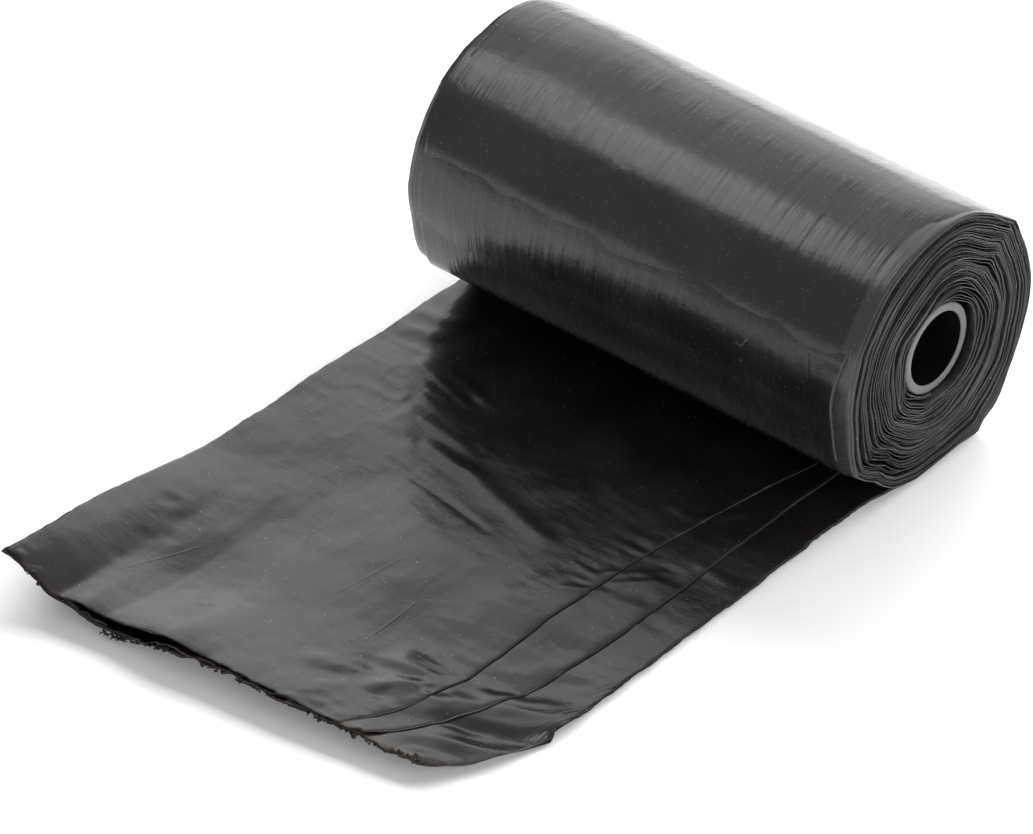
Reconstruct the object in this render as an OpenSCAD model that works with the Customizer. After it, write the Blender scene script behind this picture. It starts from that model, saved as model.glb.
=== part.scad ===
// A roll of thin plastic bags, wound on a tube, with its loose end lying in front.
// The bags are one folded strip of film, torn off at a perforation. It lies flat on
// the ground, runs under the roll, and winds up the back, over the top and inwards.
// X runs along the tube, -Y towards the torn edge, and z = 0 is the ground.

/* [Roll] */
// Diameter of the wound roll
roll_d = 34; // [28:0.5:42]
// Turns of the strip that are drawn round the tube
turns = 20; // [14:1:24]
// Share of the pitch between two turns that is film, the rest is air
film_share = 0.8; // [0.5:0.05:0.85]
// How far the soft roll has settled below its radius
settle = 0.2; // [0:0.05:0.5]
// How strongly the outer turns are creased into flats and corners
crease = 1; // [0:0.1:1.2]
// How far the turns wander along the tube from the loose end
wander = 1.6; // [0:0.1:3]
// How unevenly the edges of the turns end
ripple = 0.3; // [0:0.05:0.6]

/* [Core tube] */
// Diameter of the tube's bore
bore_d = 9; // [7:0.1:10]
// Wall of the tube
core_wall = 1.1; // [0.8:0.1:1.6]
// Length of the tube
core_len = 62.8; // [50:0.2:80]
// Air between the tube and the innermost turn
core_gap = 0.1; // [0.08:0.01:0.3]
// How far the tube's near end sits behind the edge of the turns
core_recess = 0.4; // [0:0.1:2]

/* [Bag strip] */
// Width of the folded strip
strip_w = 62.8; // [50:0.2:80]
// How far the top ply's fold lies inside the strip's right edge
top_step = 12.9; // [9:0.1:16]
// How far the middle ply's fold lies inside the strip's right edge
middle_step = 5.5; // [3:0.1:6]

/* [Loose end] */
// From under the roll's axis to the middle of the torn edge
tail_len = 79.4; // [64:0.2:110]
// Angle of the torn edge across the strip
tear_angle = 8.9; // [-12:0.1:12]
// How far the rounded right corner reaches back from the torn edge
corner_len = 10.8; // [4:0.2:14]
// Width of the rounded right corner
corner_w = 7.6; // [3:0.2:10]
// How far back from the torn edge the loose end is lifted
lift_len = 34; // [20:0.5:36]
// How high the left corner curls up
corner_rise = 6.5; // [0:0.1:12]
// How high the middle of the torn edge stands
edge_rise = 1.9; // [0:0.1:4]
// How wide the top ply gapes over the plies below it
mouth_gap = 3; // [0.5:0.1:6]
// How deep the gap under the top ply goes
mouth_depth = 14; // [8:0.5:20]

/* [Hidden] */

core_od = bore_d + 2 * core_wall;
roll_r = roll_d / 2;
first_r = core_od / 2 + core_gap;
pitch = (roll_r - first_r) / (turns + film_share);
film_t = pitch * film_share;
ply = film_t / 3;
axis_z = roll_r - settle;

left_x = -(strip_w + wander) / 2;
right_x = left_x + strip_w;
near_x = right_x + wander;

// Section of the roll: angles are from +Y. The flat under it reaches this far back
// and forward from straight down, and a turn has this many stations, counted up the
// back from the end of the flat
flat_back = 30;
flat_front = 10;
per_turn = 36;
start_a = flat_back - 90;
root_y = -axis_z * tan(flat_front);

// Outline of the outermost turn, from the end of the flat up the back and round:
// the angle, and the share of the radius by which it leaves a circle
bulge = [
    [-50, 0.075], [-40, 0.040], [-30, 0.004], [-10, 0.014], [10, -0.014], [30, -0.028],
    [40, -0.010], [50, -0.026], [60, -0.020], [80, 0.012], [100, 0.012], [130, 0.034],
    [150, 0.030], [170, -0.004], [190, -0.010], [210, 0.050], [230, 0.006], [250, 0.010]
];

function turned(a) = (a + 90) % 360 - 90;
function outline(a) =
    turned(a) <= flat_back - 90 || turned(a) >= 270 - flat_front
        ? axis_z / roll_r / abs(sin(a)) - 1
        : crease * lookup(turned(a), bulge);

// How far in a turn lies: 1 outermost and 0 at the tube, where the creases fade out
function outerness(r) = (r - first_r) / (roll_r - first_r);
function station(i, inset) =
    let (a = start_a + 360 * i / per_turn, r = roll_r - pitch * i / per_turn)
    let (far = r * (1 + outline(a) * outerness(r)) - inset)
    [far * cos(a), axis_z + far * sin(a)];

function ease(t) = let (c = min(max(t, 0), 1)) c * c * (3 - 2 * c);

// Left edge of turn k: the wander is made in the first turns, then the edges are uneven
wander_turns = 2.6;
function unevenness(k) = (sin(133 * k) + sin(47 * k + 40) - 2) / 4;
function edge_x(k) = left_x + wander * ease((k + 1) / wander_turns) + ripple * min(k, 1) * unevenness(k);

// Grid of the loose end: columns in each ply's width, and rows from the root to the tear
top_cols = 12;
middle_cols = 2;
bottom_cols = 6;
rows = 20;
// A ply's fold rounds off over this many times its thickness
fold_run = 1.5;

// Folds of the plies over the way to the tear, as shares of their steps
top_fold = [[0, 0.6], [0.25, 0.84], [0.42, 0.97], [0.6, 1], [0.8, 0.98], [0.9, 1.06], [1, 1.33]];
middle_fold = [[0, 1.04], [0.6, 1], [0.75, 1.15], [0.85, 1.45], [0.95, 2.1], [1, 2.6]];
// The middle fold stays outside the top one by at least this share of the top step
fold_apart = 0.15;

// The torn edge over the strip's width: the curled corner and the swaying middle,
// and over the top ply's width: the gap under it
curl = [[0, 1], [0.06, 0.77], [0.1, 0.52], [0.13, 0.3], [0.18, 0.15], [0.24, 0]];
sway = [[0, 0], [0.13, 0.1], [0.18, 0.3], [0.24, 0.1], [0.32, 0.4], [0.37, 1], [0.5, 0.95], [0.65, 0.6], [1, 0.15]];
gape = [[2, 0], [3, 0.45], [4, 0.9], [5, 1], [6, 0.75], [7, 0.4], [8, 0.2], [10, 0.15], [11, 0]];
mouth_from = 2;
mouth_to = 11;
// How steeply the lift grows towards the edge, and how round the corner is
lift_power = 1.3;
corner_power = 2.2;

function corner(x) = pow(max(0, 1 - (right_x - x) / corner_w), corner_power);
function tear_y(x) = tan(tear_angle) * x - tail_len + corner_len * corner(x);
function row_y(x, v) = root_y + v * (tear_y(x) - root_y);
function lift(x, v) =
    let (across = (x - left_x) / strip_w, near = 1 - (row_y(x, v) - tear_y(x)) / lift_len)
    pow(max(0, near), lift_power)
        * (corner_rise * lookup(across, curl) + edge_rise * lookup(across, sway));
function gap(x, k, v) =
    let (near = 1 - (row_y(x, v) - tear_y(x)) / mouth_depth)
    mouth_gap * lookup(k, gape) * ease(near);

function top_x(v) = right_x - top_step * lookup(v, top_fold);
function middle_x(v) = max(
    right_x - middle_step * lookup(v, middle_fold),
    top_x(v) + fold_apart * top_step);

// Columns of a row, from the left: each has its x and the plies that lie there
function spread(from, to, n, plies) = [for (i = [0:n]) [from + (to - from) * i / n, plies]];
function columns(v) = concat(
    spread(left_x, top_x(v), top_cols, 3),
    spread(top_x(v) + fold_run * ply, middle_x(v), middle_cols, 2),
    spread(middle_x(v) + fold_run * ply, right_x, bottom_cols, 1));

function at(x, v, z) = [x, row_y(x, v), z + lift(x, v)];
function upper(v) =
    let (c = columns(v))
    [for (k = [0:len(c) - 1]) at(c[k][0], v, c[k][1] * ply + gap(c[k][0], k, v))];
function lower(v) = [for (c = columns(v)) at(c[0], v, 0)];

// A thin tongue behind the root, which lies inside the flat strip under the roll
tongue_len = 1;
tongue_share = 0.93;
function tongue(z) =
    let (mid = (left_x + right_x) / 2)
    [for (c = columns(0)) [mid + tongue_share * (c[0] - mid), root_y + tongue_len, z]];

// The air between the top ply and the two below it, with its edges closed to a slit
slit = ply / 4;
function air(v, share) =
    let (c = columns(v))
    [for (k = [mouth_from:mouth_to])
        at(c[k][0], v, 2 * ply + share * max(gap(c[k][0], k, v), slit))];
// Rows of the gap: it starts where the gape does, and runs out past the torn edge
mouth_row = floor(rows * (1 - mouth_depth / (tail_len - corner_len)));
mouth_rows = concat([for (j = [mouth_row:rows]) j / rows], [1 + 1 / rows]);

function quad(a, b, c, d) = [[a, b, c], [a, c, d]];

// Closed body between an upper and a lower grid of points, given row by row from the back
module between(over, under) {
    nv = len(over);
    nu = len(over[0]);
    function o(j, k) = j * nu + k;
    function u(j, k) = nv * nu + o(j, k);
    faces = concat(
        [for (j = [0:nv - 2], k = [0:nu - 2])
            each quad(o(j, k), o(j, k + 1), o(j + 1, k + 1), o(j + 1, k))],
        [for (j = [0:nv - 2], k = [0:nu - 2])
            each quad(u(j, k), u(j + 1, k), u(j + 1, k + 1), u(j, k + 1))],
        [for (j = [0:nv - 2]) each quad(o(j, 0), o(j + 1, 0), u(j + 1, 0), u(j, 0))],
        [for (j = [0:nv - 2]) each quad(o(j + 1, nu - 1), o(j, nu - 1), u(j, nu - 1), u(j + 1, nu - 1))],
        [for (k = [0:nu - 2]) each quad(o(0, k + 1), o(0, k), u(0, k), u(0, k + 1))],
        [for (k = [0:nu - 2]) each quad(o(nv - 1, k), o(nv - 1, k + 1), u(nv - 1, k + 1), u(nv - 1, k))]);
    polyhedron([for (row = concat(over, under)) each row], faces);
}

// Stands a section in Y and Z up and draws it out along X
module along_x(x, length)
    translate([x, 0, 0]) rotate([90, 0, 90]) linear_extrude(length) children();

// One turn of the strip; the outermost one also has the flat strip under the roll
module turn(k) {
    flat_under = k == 0 ? [[root_y, film_t], [root_y, 0]] : [];
    stations = [k * per_turn:(k + 1) * per_turn];
    outer = [for (i = stations) station(i, 0)];
    inner = [for (i = stations) station(i, film_t)];
    along_x(edge_x(k), strip_w)
        polygon(concat(flat_under, outer, [for (i = [per_turn:-1:0]) inner[i]]));
}

// The flat end that lies in front, with its plies stepping back from the right edge
module loose_end()
    difference() {
        between(
            concat([tongue(2 * ply)], [for (j = [0:rows]) upper(j / rows)]),
            concat([tongue(ply)], [for (j = [0:rows]) lower(j / rows)]));
        between([for (v = mouth_rows) air(v, 1)], [for (v = mouth_rows) air(v, 0)]);
    }

module bag_strip()
    color("#232122") {
        for (k = [0:turns - 1])
            turn(k);
        loose_end();
    }

module core_tube()
    color("#4a4849")
    translate([0, 0, axis_z])
    along_x(near_x - core_recess - core_len, core_len)
    difference() {
        circle(d = core_od, $fn = 96);
        circle(d = bore_d, $fn = 96);
    }

core_tube();
bag_strip();
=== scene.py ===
"""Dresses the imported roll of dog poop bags: thin film, its loose end, the wound turns and the tube."""

import math

import bmesh
import bpy
import numpy as np
from mathutils import Matrix, Vector


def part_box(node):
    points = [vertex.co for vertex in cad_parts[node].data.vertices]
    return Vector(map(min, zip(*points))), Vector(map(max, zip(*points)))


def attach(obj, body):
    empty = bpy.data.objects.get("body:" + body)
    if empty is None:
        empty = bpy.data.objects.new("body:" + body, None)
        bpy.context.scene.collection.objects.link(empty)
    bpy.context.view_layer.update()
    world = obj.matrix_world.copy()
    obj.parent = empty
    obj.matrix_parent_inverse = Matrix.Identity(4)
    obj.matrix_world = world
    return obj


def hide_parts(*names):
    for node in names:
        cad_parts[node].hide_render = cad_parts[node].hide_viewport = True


bl_info = {
    "name": "Dog poop bag roll",
    "version": (1, 0, 0),
    "blender": (4, 5, 0),
    "location": "3D View > Sidebar > Bag Roll",
    "description": "Builds the film, the loose end and the tube of a started roll of waste bags",
    "category": "Object",
}

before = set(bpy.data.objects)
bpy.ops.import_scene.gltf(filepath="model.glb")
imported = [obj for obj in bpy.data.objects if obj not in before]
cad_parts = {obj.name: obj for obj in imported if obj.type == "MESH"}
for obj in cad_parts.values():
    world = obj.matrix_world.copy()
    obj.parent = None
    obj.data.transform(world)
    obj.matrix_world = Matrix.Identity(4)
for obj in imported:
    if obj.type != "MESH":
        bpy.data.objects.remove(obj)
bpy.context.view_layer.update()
TUBE_LOW, TUBE_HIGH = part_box("core_tube")
MM = 0.001


# Measures that the loose end and the roll share with the solids, in millimetres and degrees

FLAT_BACK = 30
FLAT_FRONT = 10
START_ANGLE = FLAT_BACK - 90
SETTLE = 0.2
FILM_SHARE = 0.8
TURNS = 20
CORE_GAP = 0.1
CORNER_LENGTH, CORNER_WIDTH, CORNER_POWER = 10.8, 7.6, 2.2
LIFT_POWER = 1.3
# The middle fold stays outside the top one by at least this share of the top step
FOLD_APART = 0.15
# Angle from +Y and the share of the radius by which the outermost turn leaves a circle
BULGE = [
    (-50, 0.075), (-40, 0.040), (-30, 0.004), (-10, 0.014), (10, -0.014), (30, -0.028),
    (40, -0.010), (50, -0.026), (60, -0.020), (80, 0.012), (100, 0.012), (118, 0.028), (130, 0.034),
    (146, 0.016), (158, 0.010), (170, 0.010), (180, 0.007), (190, -0.004), (210, 0.050), (230, 0.006), (250, 0.010),
]
# The torn edge over the strip's width: the curled corner, and the sway of the middle
CURL = [(0, 1.12), (0.06, 0.8), (0.1, 0.52), (0.13, 0.3), (0.18, 0.15), (0.24, 0)]
SWAY = [(0, 0), (0.13, 0.1), (0.18, 0.3), (0.24, 0.1), (0.32, 0.4), (0.37, 1), (0.5, 0.95), (0.65, 0.6), (1, 0.15)]
# The gap under the top ply, over that ply's width
GAPE = [
    (0, 0), (0.15, 0), (0.22, 0.42), (0.3, 0.6), (0.38, 0.62), (0.46, 0.5), (0.54, 0.3), (0.6, 0.18),
    (0.67, 0.14), (0.83, 0.1), (0.92, 0),
]
# Folds of the two upper plies over the way to the tear, as shares of their steps
TOP_FOLD = [(0, 0.6), (0.25, 0.84), (0.42, 0.97), (0.6, 1), (0.8, 0.98), (0.9, 1.06), (0.96, 1.2), (1, 1.33)]
MIDDLE_FOLD = [(0, 1.04), (0.6, 1), (0.75, 1.15), (0.85, 1.45), (0.95, 2.1), (1, 2.6)]
# Right edge of the outermost film: turns wound since the loose end, and its X
OUTER_EDGE = [
    (-4, 30.6), (-0.4, 30.6), (0, 31.7), (0.03, 32.25), (0.08, 32.4), (0.44, 32.35), (0.52, 32.1),
    (0.58, 31.5), (0.65, 30.4), (0.72, 30.4), (0.86, 30.3), (1.0, 31.0), (1.2, 31.6),
]

# Soft ridges pressed into the loose end: from, to, width and height
RIDGES = [
    ((-24.7, -23.4), (-14.5, -26.1), 0.8, 0.22), ((-24.9, -21.9), (-11.8, -24.6), 0.8, 0.2),
    ((-22.2, -26.0), (-16.1, -27.3), 0.7, 0.1), ((-20.0, -28.0), (-11.0, -30.5), 0.9, 0.09),
    ((-17.0, -31.0), (-7.0, -33.0), 1.0, 0.1), ((-13.4, -34.6), (-5.5, -35.6), 1.1, 0.22),
    ((-6.5, -35.4), (1.7, -37.6), 1.2, 0.2), ((0.7, -37.2), (8.7, -39.2), 1.2, 0.16),
    ((-14.8, -39.5), (-9.0, -40.5), 0.4, -0.08), ((-9.5, -40.3), (2.8, -42.4), 0.4, -0.08),
    ((-32.0, -16.0), (-25.4, -15.0), 1.2, 0.15), ((-31.0, -20.0), (-26.0, -18.4), 1.1, 0.12),
    ((23.9, -43.4), (29.6, -43.8), 0.6, 0.12), ((23.7, -59.9), (28.6, -59.3), 0.5, 0.14),
    ((23.8, -63.7), (29.5, -60.9), 0.5, 0.14), ((22.5, -67.6), (29.2, -63.9), 0.6, 0.15),
    ((24.8, -54.6), (29.8, -53.3), 0.5, 0.12), ((18.7, -62.1), (22.1, -63.5), 0.5, 0.1),
    ((18.6, -39.7), (22.4, -36.0), 0.6, 0.12), ((15.0, -44.3), (18.9, -41.6), 0.6, 0.1),
    ((18.8, -24.4), (22.2, -19.7), 0.6, 0.12), ((16.5, -39.3), (21.7, -34.5), 0.5, 0.1),
    ((23.6, -30.8), (30.2, -31.1), 0.6, 0.1), ((8.0, -67.9), (18.2, -66.4), 1.4, -0.3),
    ((11.0, -71.0), (16.0, -66.0), 0.9, 0.22), ((3.0, -72.0), (9.0, -69.0), 1.2, 0.2),
    ((-10.0, -46.0), (19.0, -50.0), 7.5, 0.62), ((10.0, -66.0), (21.0, -67.5), 2.8, 0.62),
]
# How much further the front edge stands up and out than the solid's: its share over X, and both in full
BOW_UP, BOW_OUT = 0.95, 0.9
BOW = [(-14, 0), (-2, 0.35), (6, 0.85), (12, 1.0), (20, 0.95), (26, 0.5), (31, 0.1)]
# Small dents in the loose end: their places
DENTS = [
    (-24.8, -68.4), (-22.8, -66.4), (-24.4, -72.9), (-11.7, -72.2), (-15.0, -71.4), (-8.2, -68.9), (-27.0, -62.0),
]
# Hair-thin creases in the loose end, which don't meet: from and to
HAIRLINES = [
    ((-23.0, -76.0), (-19.4, -64.5)), ((-14.5, -51.1), (-9.6, -59.2)), ((-2.6, -62.6), (-1.0, -51.5)),
    ((5.5, -66.0), (5.1, -56.0)),
]
# Thin wrinkles in the roll's surface: each end has its X and its angle
WRINKLES = [
    ((18.9, 100), (20.7, 72)), ((20.0, 101), (22.0, 76)), ((18.0, 130), (19.4, 109)), ((17.3, 128), (18.6, 110)),
    ((-9.4, 96), (-9.3, 79)), ((-2.8, 100), (-3.0, 60)), ((20.4, 144), (26.3, 152)), ((24.4, 138), (22.9, 158)),
    ((25.6, 170), (27.5, 179)), ((26.0, 160), (27.0, 176)), ((-7.8, 152), (-8.3, 140)), ((-1.4, 122), (-2.0, 109)),
    ((-9.1, 129), (-10.4, 116)), ((25.5, 126), (26.1, 114)), ((22.8, 124), (24.3, 114)), ((27.3, 138), (27.1, 126)),
    ((26.9, 144), (26.4, 151)), ((-20.0, 151), (-20.4, 139)), ((-27.9, 92), (-28.2, 60)),
]
# Bits of lint on the roll, in the same way
LINT = [
    ((16.5, 170), (17.3, 171.5)), ((17.3, 171.5), (18.2, 166)), ((27.8, 157), (28.0, 158)),
    ((17.4, 178), (17.7, 177)), ((1.0, 148), (1.5, 150)),
]
# How far the curled corner is drawn in
CORNER_TUCK = 2.1
# Kinks that echo from turn to turn: angle, depth, width in degrees, and how many turns they reach
KINKS = [
    (228, -0.32, 7, 6), (214, 0.32, 9, 6), (243, 0.15, 8, 5), (40, 0.45, 14, 9), (64, -0.15, 12, 6),
    (152, 0.3, 10, 5), (-32, 0.35, 12, 8), (4, 0.3, 12, 12), (-17, -0.25, 10, 12),
]
# Gaps between the turns: nominal depth, angle, widths of both and how strong they are
SPLITS = [
    (18.65, -4, 0.19, 66, 6.5), (19.6, 10, 0.2, 60, 2.0), (6.0, 230, 0.15, 15, 5.5), (15.0, -55, 0.14, 24, 2.5),
    (10.5, 60, 0.14, 30, 1.4),
]
# Steps in turns and in degrees at which the drift of the turns is worked out
DRIFT_STEP, DRIFT_ANGLE = 0.05, 3.0
# The fuller far back of the roll: by how much, its angle and width, and the X and the turns over which it fades
FULL_BY, FULL_ANGLE, FULL_WIDE = 1.1, 58, 36
FULL_FROM, FULL_OVER, FULL_TURNS = 14, 42, 14
# Thickness of the loose film, the height of its middle over the ground, and half a wound ply's thickness
FILM_THICK, FILM_MIDDLE, WOUND_HALF = 0.11, 0.07, 0.054
# Turns that the outer film goes round the roll
OUTER_TURNS = 1.13
# Wound turns before this one count as outermost, and get a painted highlight, lighter grey, along a band by their
# right edge
OUTERMOST = 1.2
# Y at which the upper plies end under the roll, and how many plies up they lie
UPPER_END = 5.0
MIDDLE_LEVEL, TOP_LEVEL = 1.55, 2.6
# Depth in turns of the first wound ply, how far apart the plies are, and how far back each steps
FIRST_PLY, PLY_APART, PLY_STEPS = 0.14, 0.27, (0.0, 0.14, 0.06)
# Half the floor's side, and how far it lies below the film, in metres
FLOOR_HALF, FLOOR_SINK = 3.0, 0.00005
# Place of the camera in metres, where it looks and how far it is rolled
CAMERA_PLACE = (0.283449, -0.355799, 0.335608)
CAMERA_TOWARD = (-0.52725, 0.59798, -0.60368)
CAMERA_ROLL = math.radians(-0.2)
SENSOR_WIDTH = 36
# Point in metres that the lamps face
LAMP_TARGET = (0, -0.02, 0.01)


# Helpers for shapes

def ease(t):
    """Smooth step from 0 to 1."""
    c = np.clip(t, 0, 1)
    return c * c * (3 - 2 * c)


def soft_curve(pairs, soft=0.05):
    """A curve through pairs of numbers, rounded over a share of its length."""
    xs = np.linspace(pairs[0][0], pairs[-1][0], 1201)
    ys = np.interp(xs, *zip(*pairs))
    half = max(1, int(soft * 600))
    window = np.hanning(2 * half + 3)
    padded = np.pad(ys, half + 1, mode="reflect", reflect_type="odd")
    return xs, np.convolve(padded, window / window.sum(), "valid")


def look_up(x, curve):
    return np.interp(x, *curve)


class Unevenness:
    """Smooth seeded noise in two directions, which can repeat along the second."""

    def __init__(self, seed):
        self.grid = np.random.default_rng(seed).random((97, 97)) * 2 - 1

    def __call__(self, x, y, repeat=97):
        x, y = np.broadcast_arrays(np.asarray(x, float), np.asarray(y, float))
        column, row = np.floor(x).astype(int), np.floor(y).astype(int)
        tx, ty = x - column, y - row
        tx, ty = (t ** 3 * (t * (t * 6 - 15) + 10) for t in (tx, ty))

        def corner(i, j):
            return self.grid[(column + i) % 97, ((row + j) % repeat) % 97]

        near = corner(0, 0) * (1 - tx) + corner(1, 0) * tx
        far = corner(0, 1) * (1 - tx) + corner(1, 1) * tx
        return near * (1 - ty) + far * ty

    def layers(self, x, y, count=3):
        """Several scales of it, each finer and weaker."""
        total = 0
        for k in range(count):
            turned_x, turned_y = x * 0.8 + y * 0.6, y * 0.8 - x * 0.6
            total = total + self(turned_x * 2 ** k + 17 * k, turned_y * 2 ** k + 31 * k) / 2 ** k
        return total / (2 - 0.5 ** (count - 1))


def from_line(x, y, a, b):
    """Distance from a line between two points, and where along it the nearest point is."""
    dx, dy = b[0] - a[0], b[1] - a[1]
    along = ((x - a[0]) * dx + (y - a[1]) * dy) / (dx * dx + dy * dy)
    held = np.clip(along, 0, 1)
    return np.hypot(x - a[0] - held * dx, y - a[1] - held * dy), along


def grid_mesh(name, across, along):
    """A flat grid from -1 to 1, and where its vertices are."""
    bm = bmesh.new()
    bmesh.ops.create_grid(bm, x_segments=across, y_segments=along, size=1)
    mesh = bpy.data.meshes.new(name)
    bm.to_mesh(mesh)
    bm.free()
    flat = np.zeros(len(mesh.vertices) * 3)
    mesh.vertices.foreach_get("co", flat)
    return mesh, flat.reshape(-1, 3)


def lay_out(mesh, points, strip):
    """Moves the vertices to points in millimetres, and keeps their places on the strip for its material."""
    mesh.vertices.foreach_set("co", (points * MM).astype(np.float32).ravel())
    layer = mesh.attributes.new("strip", "FLOAT_VECTOR", "POINT")
    layer.data.foreach_set("vector", strip.astype(np.float32).ravel())


def film_shell(name, columns, rows, place, thickness, rounding=2):
    """A closed thin shell of film. place gives the middle of the film for shares across and
    along, as X, Y, Z in millimetres, and two numbers that follow the strip for its material."""
    mesh, flat = grid_mesh(name, 2 * columns, rows)
    i = np.rint((flat[:, 0] + 1) * columns).astype(int)
    j = np.rint((flat[:, 1] + 1) / 2 * rows).astype(int)
    above = i <= columns
    i = np.where(above, i, 2 * columns - i)

    across, along = np.meshgrid(np.linspace(0, 1, columns + 1), np.linspace(0, 1, rows + 1), indexing="ij")
    x, y, z, film_x, film_y = (np.broadcast_to(v, across.shape) for v in place(across, along))
    middle = np.stack([x, y, z], axis=-1)
    normal = np.cross(np.gradient(middle, axis=0), np.gradient(middle, axis=1))
    normal /= np.linalg.norm(normal, axis=-1, keepdims=True) + 1e-12
    from_side = np.minimum(np.arange(columns + 1), columns - np.arange(columns + 1))[:, None]
    from_end = np.minimum(np.arange(rows + 1), rows - np.arange(rows + 1))[None, :]
    full = np.sqrt(np.clip(np.minimum(from_side, from_end) / rounding, 0, 1))
    half = 0.5 * thickness * full[..., None] * normal
    sign = np.where(above, 1, -1)[:, None]
    strip = np.stack([film_x[i, j], film_y[i, j], np.zeros(len(i))], axis=-1)
    lay_out(mesh, middle[i, j] + sign * half[i, j], strip)
    return mesh


def close_up(mesh, merge=2e-7):
    """Joins the doubled edges of a shell, turns its faces outwards and smooths it."""
    bm = bmesh.new()
    bm.from_mesh(mesh)
    bmesh.ops.remove_doubles(bm, verts=bm.verts, dist=merge)
    bmesh.ops.dissolve_degenerate(bm, edges=bm.edges, dist=merge)
    bmesh.ops.recalc_face_normals(bm, faces=bm.faces)
    for face in bm.faces:
        face.smooth = True
    bm.to_mesh(mesh)
    bm.free()
    return mesh


def add_piece(name, mesh, material, node):
    """Adds the mesh as a piece that stands for a CAD node."""
    mesh.materials.append(material)
    piece = bpy.data.objects.new(name, mesh)
    bpy.context.scene.collection.objects.link(piece)
    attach(piece, "root")
    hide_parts(node)
    return piece


def join_meshes(name, meshes):
    """One mesh out of several, which are then dropped."""
    bm = bmesh.new()
    for mesh in meshes:
        bm.from_mesh(mesh)
    joined = bpy.data.meshes.new(name)
    bm.to_mesh(joined)
    bm.free()
    for mesh in meshes:
        bpy.data.meshes.remove(mesh)
    return joined


# The roll's form, which every film piece shares

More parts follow.
